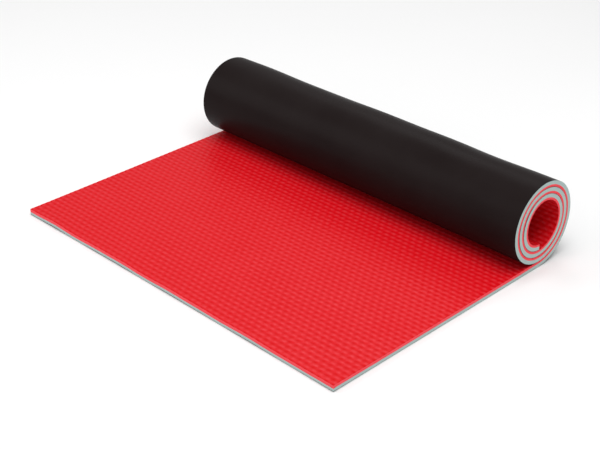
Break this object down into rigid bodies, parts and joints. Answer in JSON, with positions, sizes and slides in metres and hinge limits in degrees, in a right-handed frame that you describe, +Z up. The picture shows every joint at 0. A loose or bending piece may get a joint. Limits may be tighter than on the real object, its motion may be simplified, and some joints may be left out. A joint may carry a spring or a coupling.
{
  "type": "gym mat",
  "caption": "Roll-up three-layer gym mat, part laid flat and part wound into a roll that unrolls along the floor: ribbed red top, pale foam core, smooth black underside.",
  "frame": {"origin": "centre of the rolled-up mat's footprint, on the floor", "axes": "+X across the mat's width, +Y from the free near edge towards the roll, +Z up"},
  "size_m": [0.6, 0.4536, 0.1245],
  "materials": {
    "top_layer": "satin closed-cell foam, embossed with fine offset ribs across the mat",
    "foam_core": "matte pale grey-green closed-cell foam, cut edges showing fine cells",
    "backing": "thin satin black skin with fine anti-slip grain"
  },
  "bodies": {
    "flat_part": {"backing_flat": "backing", "foam_core_flat": "foam_core", "top_layer_flat": "top_layer"},
    "roll_01": {"backing_roll_01": "backing", "foam_core_roll_01": "foam_core", "top_layer_roll_01": "top_layer"},
    "roll_02": {"backing_roll_02": "backing", "foam_core_roll_02": "foam_core", "top_layer_roll_02": "top_layer"},
    "roll_03": {"backing_roll_03": "backing", "foam_core_roll_03": "foam_core", "top_layer_roll_03": "top_layer"},
    "roll_04": {"backing_roll_04": "backing", "foam_core_roll_04": "foam_core", "top_layer_roll_04": "top_layer"},
    "roll_05": {"backing_roll_05": "backing", "foam_core_roll_05": "foam_core", "top_layer_roll_05": "top_layer"},
    "roll_06": {"backing_roll_06": "backing", "foam_core_roll_06": "foam_core", "top_layer_roll_06": "top_layer"},
    "roll_07": {"backing_roll_07": "backing", "foam_core_roll_07": "foam_core", "top_layer_roll_07": "top_layer"},
    "roll_08": {"backing_roll_08": "backing", "foam_core_roll_08": "foam_core", "top_layer_roll_08": "top_layer"},
    "roll_09": {"backing_roll_09": "backing", "foam_core_roll_09": "foam_core", "top_layer_roll_09": "top_layer"},
    "roll_10": {"backing_roll_10": "backing", "foam_core_roll_10": "foam_core", "top_layer_roll_10": "top_layer"},
    "roll_11": {"backing_roll_11": "backing", "foam_core_roll_11": "foam_core", "top_layer_roll_11": "top_layer"},
    "roll_12": {"backing_roll_12": "backing", "foam_core_roll_12": "foam_core", "top_layer_roll_12": "top_layer"},
    "roll_13": {"backing_roll_13": "backing", "foam_core_roll_13": "foam_core", "top_layer_roll_13": "top_layer"},
    "roll_14": {"backing_roll_14": "backing", "foam_core_roll_14": "foam_core", "top_layer_roll_14": "top_layer"},
    "roll_15": {"backing_roll_15": "backing", "foam_core_roll_15": "foam_core", "top_layer_roll_15": "top_layer"},
    "roll_16": {"backing_roll_16": "backing", "foam_core_roll_16": "foam_core", "top_layer_roll_16": "top_layer"},
    "roll_17": {"backing_roll_17": "backing", "foam_core_roll_17": "foam_core", "top_layer_roll_17": "top_layer"},
    "roll_18": {"backing_roll_18": "backing", "foam_core_roll_18": "foam_core", "top_layer_roll_18": "top_layer"}
  },
  "joints": [
    {"name": "unroll", "type": "hinge", "parent": "flat_part", "child": "roll_01", "pos_m": [0, 0.16316, 0], "axis": [-1, 0, 0], "range_deg": [0, 29.88]},
    {"name": "uncurl_02", "type": "hinge", "parent": "roll_01", "child": "roll_02", "pos_m": [0, 0.21843, 0.03176], "axis": [-1, 0, 0], "range_deg": [0, 60.01]},
    {"name": "uncurl_03", "type": "hinge", "parent": "roll_02", "child": "roll_03", "pos_m": [0, 0.21857, 0.09401], "axis": [-1, 0, 0], "range_deg": [0, 60.01]},
    {"name": "uncurl_04", "type": "hinge", "parent": "roll_03", "child": "roll_04", "pos_m": [0, 0.16602, 0.1245], "axis": [-1, 0, 0], "range_deg": [0, 60.01]},
    {"name": "uncurl_05", "type": "hinge", "parent": "roll_04", "child": "roll_05", "pos_m": [0, 0.11464, 0.09499], "axis": [-1, 0, 0], "range_deg": [0, 60.01]},
    {"name": "uncurl_06", "type": "hinge", "parent": "roll_05", "child": "roll_06", "pos_m": [0, 0.11451, 0.03724], "axis": [-1, 0, 0], "range_deg": [0, 60.01]},
    {"name": "uncurl_07", "type": "hinge", "parent": "roll_06", "child": "roll_07", "pos_m": [0, 0.16316, 0.009], "axis": [-1, 0, 0], "range_deg": [0, 60.01]},
    {"name": "uncurl_08", "type": "hinge", "parent": "roll_07", "child": "roll_08", "pos_m": [0, 0.21064, 0.03626], "axis": [-1, 0, 0], "range_deg": [0, 60.01]},
    {"name": "uncurl_09", "type": "hinge", "parent": "roll_08", "child": "roll_09", "pos_m": [0, 0.21077, 0.08951], "axis": [-1, 0, 0], "range_deg": [0, 60.01]},
    {"name": "uncurl_10", "type": "hinge", "parent": "roll_09", "child": "roll_10", "pos_m": [0, 0.16602, 0.1155], "axis": [-1, 0, 0], "range_deg": [0, 60.01]},
    {"name": "uncurl_11", "type": "hinge", "parent": "roll_10", "child": "roll_11", "pos_m": [0, 0.12244, 0.09049], "axis": [-1, 0, 0], "range_deg": [0, 60.01]},
    {"name": "uncurl_12", "type": "hinge", "parent": "roll_11", "child": "roll_12", "pos_m": [0, 0.12231, 0.04174], "axis": [-1, 0, 0], "range_deg": [0, 60]},
    {"name": "uncurl_13", "type": "hinge", "parent": "roll_12", "child": "roll_13", "pos_m": [0, 0.16316, 0.018], "axis": [-1, 0, 0], "range_deg": [0, 60]},
    {"name": "uncurl_14", "type": "hinge", "parent": "roll_13", "child": "roll_14", "pos_m": [0, 0.20285, 0.04076], "axis": [-1, 0, 0], "range_deg": [0, 60]},
    {"name": "uncurl_15", "type": "hinge", "parent": "roll_14", "child": "roll_15", "pos_m": [0, 0.20298, 0.08501], "axis": [-1, 0, 0], "range_deg": [0, 60]},
    {"name": "uncurl_16", "type": "hinge", "parent": "roll_15", "child": "roll_16", "pos_m": [0, 0.16602, 0.1065], "axis": [-1, 0, 0], "range_deg": [0, 60]},
    {"name": "uncurl_17", "type": "hinge", "parent": "roll_16", "child": "roll_17", "pos_m": [0, 0.13023, 0.08599], "axis": [-1, 0, 0], "range_deg": [0, 60]},
    {"name": "uncurl_18", "type": "hinge", "parent": "roll_17", "child": "roll_18", "pos_m": [0, 0.1301, 0.04624], "axis": [-1, 0, 0], "range_deg": [0, 60]}
  ],
  "couplings": [
    {"joint": "uncurl_02", "follows": "unroll", "ratio": 2.0079},
    {"joint": "uncurl_03", "follows": "unroll", "ratio": 2.0079},
    {"joint": "uncurl_04", "follows": "unroll", "ratio": 2.0079},
    {"joint": "uncurl_05", "follows": "unroll", "ratio": 2.0079},
    {"joint": "uncurl_06", "follows": "unroll", "ratio": 2.0079},
    {"joint": "uncurl_07", "follows": "unroll", "ratio": 2.0079},
    {"joint": "uncurl_08", "follows": "unroll", "ratio": 2.0079},
    {"joint": "uncurl_09", "follows": "unroll", "ratio": 2.0079},
    {"joint": "uncurl_10", "follows": "unroll", "ratio": 2.0079},
    {"joint": "uncurl_11", "follows": "unroll", "ratio": 2.0079},
    {"joint": "uncurl_12", "follows": "unroll", "ratio": 2.0079},
    {"joint": "uncurl_13", "follows": "unroll", "ratio": 2.0078},
    {"joint": "uncurl_14", "follows": "unroll", "ratio": 2.0078},
    {"joint": "uncurl_15", "follows": "unroll", "ratio": 2.0078},
    {"joint": "uncurl_16", "follows": "unroll", "ratio": 2.0078},
    {"joint": "uncurl_17", "follows": "unroll", "ratio": 2.0078},
    {"joint": "uncurl_18", "follows": "unroll", "ratio": 2.0078}
  ]
}
